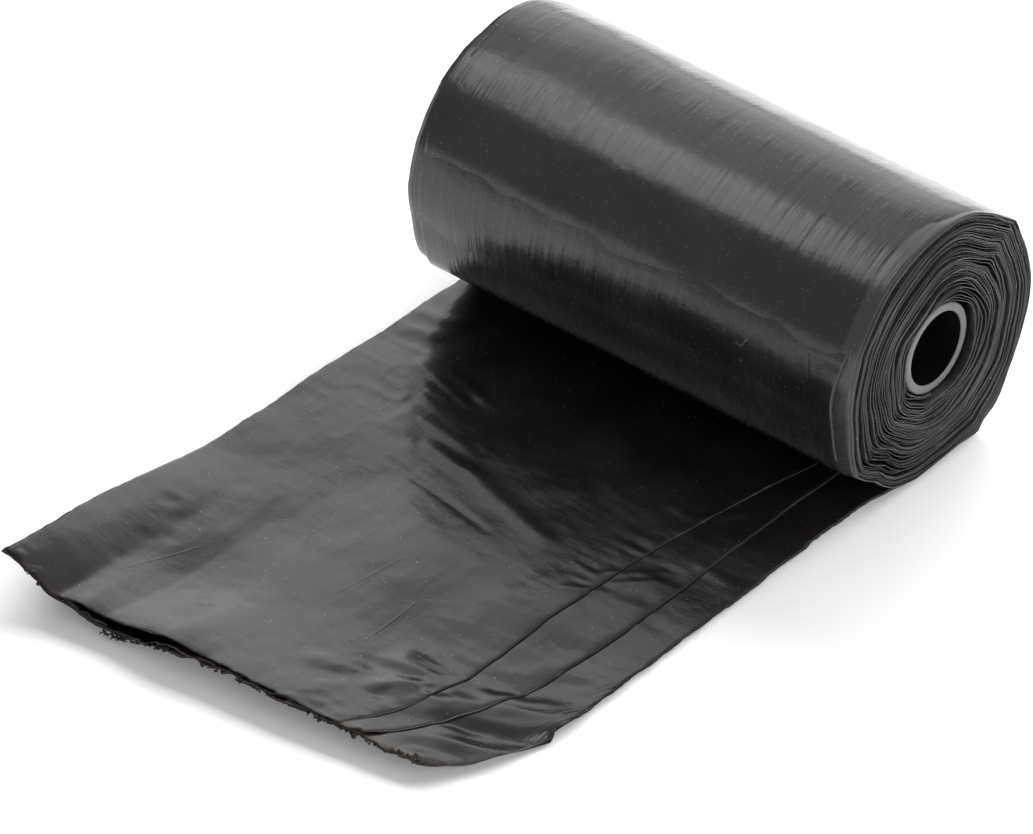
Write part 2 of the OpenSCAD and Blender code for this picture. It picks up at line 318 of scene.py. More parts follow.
class RollForm:
    """The section of the roll and the lie of the loose end, in millimetres."""

    def __init__(self, roll, strip):
        self.radius = roll.roll_diameter / 2 / MM
        self.width = strip.strip_width / MM
        self.wander = strip.wander / MM
        self.first_radius = roll.bore_diameter / 2 / MM + roll.tube_wall / MM + CORE_GAP
        self.pitch = (self.radius - self.first_radius) / (TURNS + FILM_SHARE)
        self.ply = self.pitch * FILM_SHARE / 3
        self.axis_z = self.radius - SETTLE
        self.left = -(self.width + self.wander) / 2
        self.right = self.left + self.width
        self.near = self.right + self.wander
        self.root_y = -self.axis_z * math.tan(math.radians(FLAT_FRONT))
        self.top_step = strip.top_step / MM
        self.middle_step = strip.middle_step / MM
        self.tail = strip.tail_length / MM
        self.tear_slope = math.tan(strip.tear_angle)
        self.lift_length = strip.lift_length / MM
        self.corner_rise = strip.corner_rise / MM
        self.edge_rise = strip.edge_rise / MM
        self.mouth_gap = strip.mouth_gap / MM
        self.mouth_depth = strip.mouth_depth / MM
        self.curl, self.sway = soft_curve(CURL, 0.16), soft_curve(SWAY, 0.12)
        self.gape, self.top_fold = soft_curve(GAPE, 0.05), soft_curve(TOP_FOLD, 0.05)
        self.bow = soft_curve(BOW, 0.2)
        self.middle_fold, self.outer_edge = soft_curve(MIDDLE_FOLD, 0.05), soft_curve(OUTER_EDGE, 0.01)
        self.lie, self.crumple, self.fine = Unevenness(3), Unevenness(7), Unevenness(11)
        self.hem, self.bunch = Unevenness(19), Unevenness(23)
        self.outline = self.make_outline()
        self.depths, self.angles, self.drift = self.make_drift()

    def make_outline(self):
        """How far the outermost turn leaves a circle at each angle, with its corners rounded."""
        angles = np.arange(-90, 270.5, 0.5)
        flat = (angles <= START_ANGLE) | (angles >= 270 - FLAT_FRONT)
        with np.errstate(divide="ignore"):
            on_flat = self.axis_z / self.radius / np.abs(np.sin(np.radians(angles))) - 1
        share = np.where(flat, on_flat, np.interp(angles, *zip(*BULGE)))
        window = np.hanning(15)
        share = np.convolve(np.pad(share, 7, mode="wrap"), window / window.sum(), "valid")
        return angles, share

    def make_drift(self):
        """Where turns really lie between the outside and the tube: bunched here and gaping there."""
        depths = np.arange(0, TURNS + 1.001, DRIFT_STEP)
        angles = np.arange(0, 361, DRIFT_ANGLE)
        d, a = np.meshgrid(depths, angles, indexing="ij")
        spread = np.exp(0.95 * self.bunch(d * 3.1, a / 30, 12) + 0.35 * self.bunch(d * 1.1 + 40, a / 40 + 50, 9))
        spread = spread * (1 + 1.2 * np.exp(-((d - np.rint(d)) / 0.12) ** 2))
        for depth, angle, deep, wide, strong in SPLITS:
            facing = np.exp(-(((a + 180 - angle) % 360 - 180) / wide) ** 2)
            spread = spread + strong * facing * np.exp(-((d - depth) / deep) ** 2)
        held = ease((depths - 0.6) / 2)[:, None]
        spread = spread * held + (1 - held)
        total = np.cumsum(spread, axis=0)
        total = (total - total[0]) / (total[-1] - total[0]) * depths[-1]
        return depths, angles, total

    def drifted(self, depth, angle):
        """The depth in turns, after the drift."""
        i = np.clip(depth / DRIFT_STEP, 0, len(self.depths) - 1.001)
        j = (angle % 360) / DRIFT_ANGLE
        i0, j0 = np.floor(i).astype(int), np.floor(j).astype(int)
        ti, tj = i - i0, j - j0
        d = self.drift
        return ((d[i0, j0] * (1 - ti) + d[i0 + 1, j0] * ti) * (1 - tj)
                + (d[i0, j0 + 1] * (1 - ti) + d[i0 + 1, j0 + 1] * ti) * tj)

    def wound(self, depth, angle):
        """Y and Z at a depth in turns below the outside and an angle from +Y."""
        turned = (angle + 90) % 360 - 90
        r = self.radius - self.pitch * self.drifted(depth, angle)
        outerness = (r - self.first_radius) / (self.radius - self.first_radius)
        far = r * (1 + np.interp(turned, *self.outline) * outerness)
        for at, deep, wide, reach in KINKS:
            off = (turned - at + 180) % 360 - 180
            facing = np.maximum(0, 1 - np.abs(off) / wide) ** 1.5
            far = far + deep * facing * ease(depth / 1.5) * ease(2 - depth / reach)
        a = np.radians(angle)
        return far * np.cos(a), self.axis_z + far * np.sin(a)

    def fuller(self, x, angle, turn):
        """How much further out than the solid the roll's far back stands."""
        off = (angle + 180 - FULL_ANGLE) % 360 - 180
        facing = np.exp(-(off / FULL_WIDE) ** 2)
        return FULL_BY * ease((FULL_FROM - x) / FULL_OVER) * facing * np.clip(1 - turn / FULL_TURNS, 0, 1)

    def tear(self, x):
        corner = np.maximum(0, 1 - (self.right - x) / CORNER_WIDTH) ** CORNER_POWER
        return self.tear_slope * x - self.tail + CORNER_LENGTH * corner - BOW_OUT * look_up(x, self.bow)

    def row_y(self, x, v):
        return self.root_y + v * (self.tear(x) - self.root_y)

    def lift(self, x, v):
        across = (x - self.left) / self.width
        near = 1 - (self.row_y(x, v) - self.tear(x)) / self.lift_length
        rise = self.corner_rise * look_up(across, self.curl) + self.edge_rise * look_up(across, self.sway)
        bow = BOW_UP * look_up(x, self.bow) * np.maximum(0, 2 * near - 1) ** 1.6
        return np.maximum(0, near) ** LIFT_POWER * rise + bow

    def top_x(self, v):
        return self.right - self.top_step * look_up(v, self.top_fold)

    def middle_x(self, v):
        return np.maximum(self.right - self.middle_step * look_up(v, self.middle_fold),
                          self.top_x(v) + FOLD_APART * self.top_step)

    def folds(self, x, y):
        """Height of the soft folds and dents in the loose end."""
        clear = ease((self.root_y - 5 - y) / 9)
        slow = 0.5 + 0.5 * self.lie.layers(x / 15, y / 11, 2)
        height = 0.42 * slow + 0.06 * self.crumple.layers(x / 4.2, y / 5, 2)
        height = height + 0.018 * self.fine.layers(x / 1.6 + 9, y / 1.9, 2)
        front = ease((-61 - y) / 6) * ease((x - 2) / 6)
        height = height + 0.09 * front * self.crumple.layers((x + 0.5 * y) / 3.4 + 21, (y - 0.5 * x) / 1.9 + 13, 3)
        slant = self.hem((x * 0.9 + y * 0.44) / 6.5 + 60, (y * 0.9 - x * 0.44) / 1.7 + 33)
        height = height + 0.5 * ease((x - 18) / 6) * ease((-52 - y) / 10) * slant
        across_fold = 1 - np.abs(self.crumple(x / 6 + 3, y / 2.3 + 40))
        height = height + 0.07 * across_fold ** 3 * ease((y + 45) / 14) * ease((-x - 2) / 12)
        for a, b, wide, high in RIDGES:
            off, along = from_line(x, y, a, b)
            height = height + high * np.exp(-(off / wide) ** 2) * ease(np.minimum(along + 0.25, 1.25 - along) / 0.5)
        for at in DENTS:
            off = np.hypot((x - at[0]) / 1.2, (y - at[1]) / 0.9)
            height = height - 0.05 * np.exp(-off ** 2) + 0.025 * np.exp(-(off - 1.4) ** 2)
        return height * clear

    def border(self, x, y, edge):
        """Crimps across a strip's border, strongest beside its edge."""
        near = np.exp(-np.maximum(edge - x, 0) / 4.5)
        crimp = self.hem(x / 5.5, y / 1.25) + 0.6 * self.hem(x / 3 + 30, y / 0.8 + 20)
        return 0.09 * near * (crimp + 1.2) * ease((self.root_y - 5 - y) / 9)

    def ply_height(self, x, v, y):
        return self.lift(x, v) + self.folds(x, y)

    def section(self, turns):
        """The outer film's line in section: distance from the root, Y and Z, in small steps."""
        flat_y = np.linspace(self.root_y, self.axis_z * math.tan(math.radians(FLAT_BACK)), 40)[:-1]
        angle = START_ANGLE + 360 * np.linspace(0, turns, 1600)
        turn = (angle - START_ANGLE) / 360
        r = self.radius - self.pitch * turn
        outerness = (r - self.first_radius) / (self.radius - self.first_radius)
        far = r * (1 + np.interp((angle + 90) % 360 - 90, *self.outline) * outerness) - FILM_MIDDLE
        a = np.radians(angle)
        y = np.concatenate([flat_y, far * np.cos(a)])
        z = np.concatenate([np.full(len(flat_y), FILM_MIDDLE), self.axis_z + far * np.sin(a)])
        steps = np.concatenate([[0], np.cumsum(np.hypot(np.diff(y), np.diff(z)))])
        even = np.arange(0, steps[-1], 0.1)
        y, z = np.interp(even, steps, y), np.interp(even, steps, z)
        window = np.hanning(31) / np.hanning(31).sum()
        y = np.convolve(np.pad(y, 15, mode="reflect", reflect_type="odd"), window, "valid")
        z = np.convolve(np.pad(z, 15, mode="reflect", reflect_type="odd"), window, "valid")
        turn_at = np.interp(even, steps, np.concatenate([np.zeros(len(flat_y)), turn]))
        return even, y, np.maximum(z, FILM_MIDDLE), turn_at


def form_of(context):
    return RollForm(context.scene.bag_roll, context.scene.bag_strip)


# Helpers for materials

class Value:
    """A shader socket that can stand in a Python expression."""

    def __init__(self, finish, socket):
        self.finish, self.socket = finish, socket

    def math(self, operation, *others):
        return self.finish.node("ShaderNodeMath", {"operation": operation}, others)

    def __add__(self, other):
        return self.math("ADD", self, other)

    __radd__ = __add__

    def __mul__(self, other):
        return self.math("MULTIPLY", self, other)

    __rmul__ = __mul__

    def __sub__(self, other):
        return self.math("SUBTRACT", self, other)

    def __rsub__(self, other):
        return self.math("SUBTRACT", other, self)

    def __abs__(self):
        return self.math("ABSOLUTE", self)

    def __lt__(self, other):
        return self.math("LESS_THAN", self, other)

    def at_least(self, other):
        return self.math("MAXIMUM", self, other)

    def at_most(self, other):
        return self.math("MINIMUM", self, other)

    def spread(self, low, high, to_low=0.0, to_high=1.0):
        """A smooth change from to_low to to_high between low and high."""
        return self.finish.node("ShaderNodeMapRange", {"interpolation_type": "SMOOTHSTEP"},
                                (self, low, high, to_low, to_high))


class Finish:
    """A material that is put together from expressions."""

    def __init__(self, name):
        self.material = bpy.data.materials.new(name)
        self.material.use_nodes = True
        self.tree = self.material.node_tree
        self.tree.nodes.clear()
        self.output = self.tree.nodes.new("ShaderNodeOutputMaterial")

    def node(self, kind, settings=None, inputs=(), output=0):
        """Adds a node: first its settings, then the values or links of its sockets."""
        made = self.tree.nodes.new(kind)
        for key, value in (settings or {}).items():
            setattr(made, key, value)
        named = inputs.items() if isinstance(inputs, dict) else enumerate(inputs)
        for key, value in named:
            if isinstance(value, Value):
                self.tree.links.new(value.socket, made.inputs[key])
            elif value is not None:
                made.inputs[key].default_value = value
        return Value(self, made.outputs[output])

    def parts(self, vector):
        made = self.node("ShaderNodeSeparateXYZ", inputs=(vector,))
        return [Value(self, made.socket.node.outputs[k]) for k in range(3)]

    def mix(self, factor, low, high):
        return self.node("ShaderNodeMix", {"data_type": "RGBA"}, {0: factor, 6: low, 7: high}, output=2)

    def stretched(self, vector, scale):
        return self.node("ShaderNodeVectorMath", {"operation": "MULTIPLY"}, (vector, scale))

    def noise(self, vector, scale, detail=2.0, roughness=0.5):
        return self.node("ShaderNodeTexNoise", None,
                         {"Vector": vector, "Scale": scale, "Detail": detail, "Roughness": roughness})

    def specks(self, vector, scale, size, share):
        """Small dots: 1 on a share of the cells' middles, 0 elsewhere."""
        cells = self.node("ShaderNodeTexVoronoi", None, {"Vector": vector, "Scale": scale})
        chance = self.parts(Value(self, cells.socket.node.outputs["Color"]))[0]
        return cells.spread(size * 0.5, size, 1.0, 0.0) * (chance < share)

    def bump(self, height):
        """Bumps from a height in millimetres."""
        return self.node("ShaderNodeBump", None, {"Strength": 1.0, "Distance": MM, "Height": height})

    def surface(self, shader):
        self.tree.links.new(shader.socket, self.output.inputs["Surface"])
        return self.material


def line_mask(finish, x, y, a, b, wide):
    """A thin line between two points of the strip: 1 on it, fading over its width."""
    dx, dy = b[0] - a[0], b[1] - a[1]
    length = math.hypot(dx, dy)
    dx, dy = dx / length, dy / length
    off = abs((x - a[0]) * dy - (y - a[1]) * dx)
    along = (x - a[0]) * dx + (y - a[1]) * dy
    ends = along.at_most(length - along).spread(0, 0.12 * length)
    return off.spread(0, wide, 1.0, 0.0) * ends


def film_finish(name, look, lines=(), rounds=(), lint=(), painted_light_from=None, dusty=1.0, tear=None):
    """Near-black satin film with fine ripples, haze, hairline creases and dust, and where asked a painted highlight:
    lighter grey on the right edges of the turns.
    """
    finish = Finish(name)
    here = finish.node("ShaderNodeTexCoord", output=3)
    strip = finish.node("ShaderNodeAttribute", {"attribute_name": "strip"}, output=1)
    x, y, outermost = finish.parts(strip)
    wound = y.spread(-14.0, -4.0)
    cloud = finish.noise(here, 90, 3.0)
    streaks = finish.noise(finish.stretched(strip, (0.85, 0.07, 1.0)), 1.0, 2.0)
    cross = finish.noise(finish.stretched(strip, (0.22, 0.5, 1.0)), 1.0, 3.0, 0.6)
    grain = finish.noise(here, 5200, 2.0, 0.6)
    brushed = finish.noise(finish.stretched(strip, (2.3, 0.3, 1.0)), 1.0, 2.0)
    height = (0.026 + 0.042 * wound) * streaks + 0.055 * cross + (0.005 + 0.019 * wound) * brushed + 0.0020 * grain
    for a, b in lines:
        height = height - 0.015 * line_mask(finish, x, y, a, b, 0.22)
    for a, b in rounds:
        height = height + 0.017 * line_mask(finish, x, y, a, b, 0.34)
    normal = finish.bump(height)
    share = dusty * look.dust * (0.25 + 0.75 * wound)
    dust = finish.specks(here, 3000, 0.14, 2.2 * share).at_least(finish.specks(here, 620, 0.05, share))
    for a, b in lint:
        dust = dust.at_least(0.45 * line_mask(finish, x, y, a, b, 0.08))
    colour = finish.mix(cloud.spread(0.35, 0.7), (*look.film_dark, 1), (*look.film_light, 1))
    # Painted highlight: lighter grey in patches on the turns' right edges, and along a band of the outermost turns
    # beside them
    if painted_light_from:
        edge_light_patches = finish.noise(finish.stretched(strip, (0.3, 0.25, 1.0)), 1.0, 2.0).spread(0.3, 0.7, 0.35, 1.0)
        outer_light_band = 0.8 * outermost * x.spread(painted_light_from - 1.4, painted_light_from - 1.0)
        edges = (edge_light_patches * x.spread(painted_light_from, painted_light_from + 0.6)).at_least(outer_light_band)
        colour = finish.mix(edges, colour, (*look.painted_edge_light_colour, 1))
    if tear:
        slope, length = tear
        near_tear = (y - slope * x + length).spread(0.0, 0.6, 0.5, 0.0)
        colour = finish.mix(near_tear, colour, (*look.torn_colour, 1))
    colour = finish.mix(dust, colour, (*look.dust_colour, 1))
    rough = look.roughness + 0.16 * (cloud - 0.5) + 0.10 * (cross - 0.5) + 0.16 * wound * (brushed - 0.5)
    rough = rough.at_least(0.12) + 0.4 * dust
    shader = finish.node("ShaderNodeBsdfPrincipled", None, {
        "Base Color": colour, "Roughness": rough, "Normal": normal, "IOR": look.film_ior})
    return finish.surface(shader)


def torn_finish(look):
    """Stretched brownish film at the tear."""
    finish = Finish("torn_film")
    here = finish.node("ShaderNodeTexCoord", output=3)
    patches = finish.noise(here, 900, 3.0, 0.6)
    colour = finish.mix(patches.spread(0.46, 0.68), (*look.film_dark, 1), (*look.torn_colour, 1))
    normal = finish.bump(0.06 * patches)
    shader = finish.node("ShaderNodeBsdfPrincipled", None, {
        "Base Color": colour, "Roughness": patches.spread(0.3, 0.7, 0.4, 0.7),
        "Normal": normal, "IOR": look.film_ior})
    return finish.surface(shader)


def tube_finish(name, plastic, dullness):
    """Matt dark grey plastic with fine grain and a few scuffs; given the bore's near-black colour, it is the painted
    shade inside the tube.
    """
    finish = Finish(name)
    here = finish.node("ShaderNodeTexCoord", output=3)
    cloud = finish.noise(here, 260, 3.0)
    grain = finish.noise(here, 3600, 2.0, 0.6)
    scuffs = finish.noise(finish.stretched(here, (0.25, 1.0, 1.0)), 1500, 2.0).spread(0.58, 0.75)
    colour = finish.mix(cloud.spread(0.3, 0.7), (*plastic, 1), tuple(1.25 * c for c in plastic) + (1,))
    colour = finish.mix(0.3 * scuffs, colour, tuple(2 * c for c in plastic) + (1,))
    normal = finish.bump(0.012 * grain + 0.01 * scuffs)
    shader = finish.node("ShaderNodeBsdfPrincipled", None, {
        "Base Color": colour, "Roughness": dullness + 0.14 * (cloud - 0.5), "Normal": normal,
        "IOR": 1.5 if dullness < 0.6 else 1.2})
    return finish.surface(shader)


def floor_finish(stage):
    """Pale floor that keeps the shadow and is white to the camera and in reflections."""
    finish = Finish("pale_floor")
    rays = finish.node("ShaderNodeLightPath")
    kinds = ("Is Camera Ray", "Is Glossy Ray", "Is Transmission Ray")
    seen = [Value(finish, rays.socket.node.outputs[kind]) for kind in kinds]
    matt = finish.node("ShaderNodeBsdfDiffuse", None, {"Color": (*stage.floor_colour, 1)})
    glow = finish.node("ShaderNodeEmission", None, {
        "Color": (1, 1, 1, 1),
        "Strength": seen[0] * stage.floor_lift + (seen[1] + seen[2]) * stage.floor_shine})
    return finish.surface(finish.node("ShaderNodeAddShader", None, (matt, glow)))


def look_of(context):
    return context.scene.bag_finish


# What a user can change

def size_property(name, default, description):
    return bpy.props.FloatProperty(name=name, description=description, default=default, unit="LENGTH")


def share_property(name, default, description):
    return bpy.props.FloatProperty(name=name, description=description, default=default, min=0, max=1)


def colour_property(name, default, description):
    return bpy.props.FloatVectorProperty(name=name, description=description, default=default, subtype="COLOR", size=3)


class BagRollSizes(bpy.types.PropertyGroup):
    """Sizes of the wound roll and its tube"""
    roll_diameter: size_property("Roll diameter", 0.034, "Diameter of the wound roll")
    bore_diameter: size_property("Bore", 0.009, "Diameter of the tube's bore")
    tube_wall: size_property("Tube wall", 0.0011, "Wall of the tube")
    tube_bevel: size_property("Tube edge", 0.00022, "Rounding of the tube's ends")


class BagStripSizes(bpy.types.PropertyGroup):
    """Sizes of the folded strip and its loose end"""
    strip_width: size_property("Strip width", 0.0628, "Width of the folded strip")
    wander: size_property("Wander", 0.0016, "How far the turns wander along the tube")
    top_step: size_property("Top step", 0.0129, "From the top ply's fold to the right edge")
    middle_step: size_property("Middle step", 0.0055, "From the middle ply's fold to the right edge")
    tail_length: size_property("Loose length", 0.0794, "From under the axis to the torn edge")
    tear_angle: bpy.props.FloatProperty(
        name="Tear angle", description="Slant of the torn edge", default=math.radians(8.9), subtype="ANGLE")
    lift_length: size_property("Lifted length", 0.034, "How far back from the tear the film is lifted")
    corner_rise: size_property("Corner rise", 0.0065, "Height of the curled corner")
    edge_rise: size_property("Edge rise", 0.0019, "Height of the middle of the torn edge")
    mouth_gap: size_property("Mouth gap", 0.003, "How wide the top ply gapes")
    mouth_depth: size_property("Mouth depth", 0.014, "How deep the gap under the top ply goes")


class BagRollFinish(bpy.types.PropertyGroup):
    """Colours and gloss of the film and the tube, with a painted highlight for the turns' edges and painted shade for
    the bore
    """
    film_dark: colour_property("Film", (0.0090, 0.0076, 0.0074), "Darkest colour of the film")
    film_light: colour_property("Film haze", (0.0165, 0.0142, 0.0138), "Lightest colour of the film")
    torn_colour: colour_property("Torn film", (0.045, 0.026, 0.018), "Colour of the stretched film at the tear")
    # Lighter grey on the edges of the turns: a painted highlight
    painted_edge_light_colour: colour_property("Painted edge light", (0.050, 0.049, 0.050), "Colour of the painted highlight on the edges of the turns")
    dust_colour: colour_property("Dust", (0.42, 0.40, 0.38), "Colour of the dust")
    tube_colour: colour_property("Tube", (0.105, 0.103, 0.104), "Colour of the tube")
    # Near-black colour inside the tube: painted shade
    painted_bore_shade_colour: colour_property("Bore", (0.002, 0.0014, 0.0014), "Painted shade inside the tube")
    roughness: bpy.props.FloatProperty(
        name="Roughness", description="Roughness of the film", default=0.25, min=0.1, max=0.8)
    film_ior: bpy.props.FloatProperty(
        name="Film gloss", description="Index of refraction of the film", default=1.56, min=1.3, max=1.8)
    dust: share_property("Dust amount", 0.10, "Share of places with a speck of dust")


class BagRollStage(bpy.types.PropertyGroup):
    """Floor, light and camera"""
    floor_colour: colour_property("Floor", (0.9, 0.9, 0.9), "Colour of the floor")
    floor_lift: share_property("Floor white", 0.12, "White that the camera sees on the floor")
    floor_shine: share_property("Floor shine", 0.37, "White that reflections see on the floor")
    mirrored: share_property("Mirrored", 0.5, "Brightness of the surroundings in reflections")
    ambient: share_property("Ambient", 0.25, "Light from all round")
    lens: bpy.props.FloatProperty(
        name="Lens", description="Focal length of the camera", default=169.25, subtype="DISTANCE_CAMERA")


# The pieces

class BAGROLL_OT_outer_film(bpy.types.Operator):
    """The lowest ply of the loose end, which runs on under the roll and round its outside"""
    bl_idname = "bagroll.outer_film"
    bl_label = "Outer film"

    def execute(self, context):
        form = form_of(context)
        steps, section_y, section_z, turn_at = form.section(OUTER_TURNS)
        slope_y, slope_z = np.gradient(section_y, steps), np.gradient(section_z, steps)
        tail_rows, wrap_rows = 132, 232
        rows, columns = tail_rows + wrap_rows, 112
        noise = Unevenness(5)

        def place(across, along):
            row = along * rows
            v = np.clip(1 - row / tail_rows, 0, 1)
            run = np.clip((row - tail_rows) / wrap_rows, 0, 1) * steps[-1]
            turn = np.interp(run, steps, turn_at) - 4 * v
            right = look_up(turn, form.outer_edge) + 0.12 * noise(run / 7, v * 30)
            right = right + 0.05 * noise(run / 1.7, v * 90 + 7)
            left = form.left + 0.12 * ease(turn / 0.9) + 0.16 * noise(run / 9 + 20, v * 12)
            left = left + 0.05 * noise(run / 1.5, v * 80)
            left = left + CORNER_TUCK * ease((v - 0.75) / 0.25)
            x = left + across * (right - left)
            ragged = ease((v - 0.95) / 0.05)
            rag = 0.3 * noise(x / 1.3 + 5, 3.5) + 0.16 * noise(x / 0.6, 9.5) + 0.4 * noise(x / 3.4, 1.5)
            tail_y = form.row_y(x, v) + ragged * (rag - 0.2)
            tail_z = form.ply_height(x, v, tail_y) + 0.5 * form.ply
            tail_z = tail_z + form.border(x, tail_y, form.right) * ease(v * 8)
            tail_z = tail_z + 0.25 * ragged * (noise(x / 1.9 + 50, 2.5) + 0.4)
            wrap_y, wrap_z = np.interp(run, steps, section_y), np.interp(run, steps, section_z)
            out_y, out_z = np.interp(run, steps, slope_z), -np.interp(run, steps, slope_y)
            free = ease((turn - 0.02) / 0.1) * ease((0.90 - turn) / 0.06)
            from_right, from_left = np.maximum(right - x, 0), np.maximum(x - left, 0)
            near_end = np.exp(-from_right / 2.6) + 0.7 * np.exp(-from_left / 2.2)
            swell = 0.20 * noise.layers(x / 17, run / 19, 2) + 0.06 * noise.layers(x / 5 + 9, run / 11 + 5, 2)
            swell = swell + 0.016 * noise(x / 1.9, run / 9 + 3) + 0.02 * noise(x / 3.7 + 60, run / 5)
            swell = swell + near_end * (0.16 * noise(x / 6, run / 3.2) + 0.07 * noise(x / 3 + 40, run / 1.5) - 0.10)
            facing = np.exp(-((turn - 0.7) / 0.14) ** 2)
            droop = np.exp(-from_right / 0.5) * (0.24 + 0.26 * noise(run / 4.5 + 31, 2.5)) * (1 - 0.85 * facing)
            lip = 0.16 * np.exp(-from_right / 0.8) * facing
            swell = (swell * (1 - 0.6 * facing * near_end) - droop + lip) * free
            swell = swell + form.fuller(x, START_ANGLE + 360 * turn, turn)
            wrap_y, wrap_z = wrap_y + out_y * swell, wrap_z + out_z * swell
            on_tail = v > 0
            return (x, np.where(on_tail, tail_y, wrap_y), np.where(on_tail, tail_z, wrap_z),
                    x, np.where(on_tail, tail_y, form.root_y + run))

        mesh = close_up(film_shell("film_wrap", columns, rows, place, FILM_THICK))

        def on_strip(pairs):
            """Turns the X and angle of each line's ends into the strip's own coordinates."""
            def end(x, angle):
                return x, np.interp((angle - START_ANGLE) / 360, turn_at, steps) + form.root_y
            return [(end(*a), end(*b)) for a, b in pairs]

        material = film_finish("outer_film", look_of(context), rounds=on_strip(WRINKLES), lint=on_strip(LINT),
                               tear=(form.tear_slope, form.tail))
        piece = add_piece("film_wrap", mesh, material, "bag_strip")
        length = form.tail + form.root_y + steps[-1]
        length * MM
        return {"FINISHED"}


class BAGROLL_OT_loose_plies(bpy.types.Operator):
    """The middle and the top ply of the loose end, which step back from the right edge"""
    bl_idname = "bagroll.loose_plies"
    bl_label = "Loose plies"

    def execute(self, context):
        form = form_of(context)
        noise = Unevenness(29)

        def ply(name, columns, rows, right_of, level, ragged_by, gapes):
            def place(across, along):
                v = 1 - along * (1 + (UPPER_END - form.root_y) / (form.tail + form.root_y))
                held = np.clip(v, 0, 1)
                right = right_of(held) + 0.05 * noise(level * 3, v * 40)
                left = form.left + 0.1 + 0.2 * noise(v * 12 + level, 4) + 0.05 * noise(v * 90 + level, 8)
                left = left + CORNER_TUCK * ease((v - 0.75) / 0.25)
                share = across - 0.10 * np.sin(2 * np.pi * across) / (2 * np.pi)
                x = left + share * (right - left)
                ragged = ease((v - 0.96) / 0.04)
                rag = ragged_by * (0.8 * noise(x / 1.2, level + 0.5) + 0.5 * noise(x / 0.45, level + 4.5))
                y = form.row_y(x, v) + ragged * rag
                hug = 1 - np.exp(-np.maximum(right - x, 0) / 0.9)
                z = form.ply_height(x, held, y) + level * form.ply + form.border(x, y, right) * hug
                if gapes:
                    near = 1 - (form.row_y(x, v) - form.tear(x)) / form.mouth_depth
                    z = z + form.mouth_gap * look_up(share, form.gape) * ease(near)
                else:
                    z = z + 0.25 * ragged * (noise(x / 1.9 + 70, level) + 0.5)
                return x, y, z, x, y

            return close_up(film_shell(name, columns, rows, place, FILM_THICK))

        look = look_of(context)
        middle = ply("middle_ply", 104, 160, form.middle_x, MIDDLE_LEVEL, 0.45, False)
        material = film_finish("middle_film", look, tear=(form.tear_slope, form.tail))
        piece = add_piece("middle_ply", middle, material, "bag_strip")
        (form.width - form.middle_step) * MM
        top = ply("top_ply", 150, 216, form.top_x, TOP_LEVEL, 0.12, True)
        material = film_finish("top_film", look, lines=HAIRLINES)
        piece = add_piece("top_ply", top, material, "bag_strip")
        (form.width - form.top_step) * MM
        return {"FINISHED"}


class BAGROLL_OT_wound_turns(bpy.types.Operator):
    """The turns under the outer film: three plies wound inwards to the tube, uneven at their edges"""
    bl_idname = "bagroll.wound_turns"
    bl_label = "Wound turns"

    def execute(self, context):
        form = form_of(context)
        noise = Unevenness(41)
        stations = 112
        # Cross section of a ply, as shares of its width and of its half thickness
        edge = [(-1, 0), (-0.997, 0.75), (-0.985, 1), (0.9, 1), (0.95, 1), (0.985, 1), (0.997, 0.75), (1, 0),
                (0.997, -0.75), (0.985, -1), (0.95, -1), (0.9, -1), (-0.985, -1), (-0.997, -0.75), (-1, 0)]
        meshes, lengths = [], 0
        for ply in range(3):
            first, last = (1.0, TURNS - 0.1) if ply == 0 else (0.1, TURNS - 0.1)
            rows = int((last - first) * stations)
            mesh, flat = grid_mesh("wound_ply", len(edge) - 1, rows)
            i = np.rint((flat[:, 0] + 1) / 2 * (len(edge) - 1)).astype(int)
            turn = first + (last - first) * (flat[:, 1] + 1) / 2
            angle = START_ANGLE + 360 * turn
            side, height = np.array(edge)[i].T
            closed = np.clip(np.minimum(turn - first, last - turn) * stations, 0, 1)
            depth = turn + FIRST_PLY + PLY_APART * ply
            y, z = form.wound(depth, angle)
            recess = PLY_STEPS[ply] + 0.38 * noise(turn * 2.6 + 5, 3) + 0.18 * noise(turn * 5.3 + 9 * ply, 13)
            recess = recess + 0.035 * noise(turn * 31 + 9 * ply, 6)
            recess = recess + 0.5 * np.maximum(0, noise(turn * 1.9 + 4, 9 + ply)) ** 2
            right = form.near + 0.25 - np.maximum(recess, -0.2)
            left = form.left + 0.5 + form.wander * ease((turn + 1) / 2.6) * 0.9
            left = left + 0.3 * noise(turn * 6.1, 12 + ply) + 0.15 * noise(turn * 27, 15 + ply)
            x = (left + right) / 2 + side * (right - left) / 2
            off_front = (angle + 180 - 185) % 360 - 180
            shoulder = 0.5 * np.exp(-(off_front / 42) ** 2 - depth / 4) * ease((x - form.near + 2.6) / 4) * 2
            a = np.radians(angle)
            thick = WOUND_HALF * (1 + 0.3 * noise(turn * 5.5, ply + 2))
            out = height * thick * closed - shoulder + form.fuller(x, angle, turn)
            y, z = y + out * np.cos(a), z + out * np.sin(a)
            run = 0.6 * (1 + rows * (turn - first) / (last - first))
            lay_out(mesh, np.stack([x, y, z], axis=-1), np.stack([x, run, turn < OUTERMOST], axis=-1))
            radius = form.radius - form.pitch * np.linspace(first, last, rows)
            lengths += float(np.sum(2 * np.pi * radius) / stations)
            meshes.append(close_up(mesh, 1e-7))
        mesh = join_meshes("wound_turns", meshes)
        # The turns' right edges get a painted highlight in lighter grey
        material = film_finish("wound_film", look_of(context), painted_light_from=form.near - 0.9, dusty=1.2)
        piece = add_piece("wound_turns", mesh, material, "bag_strip")
        return {"FINISHED"}


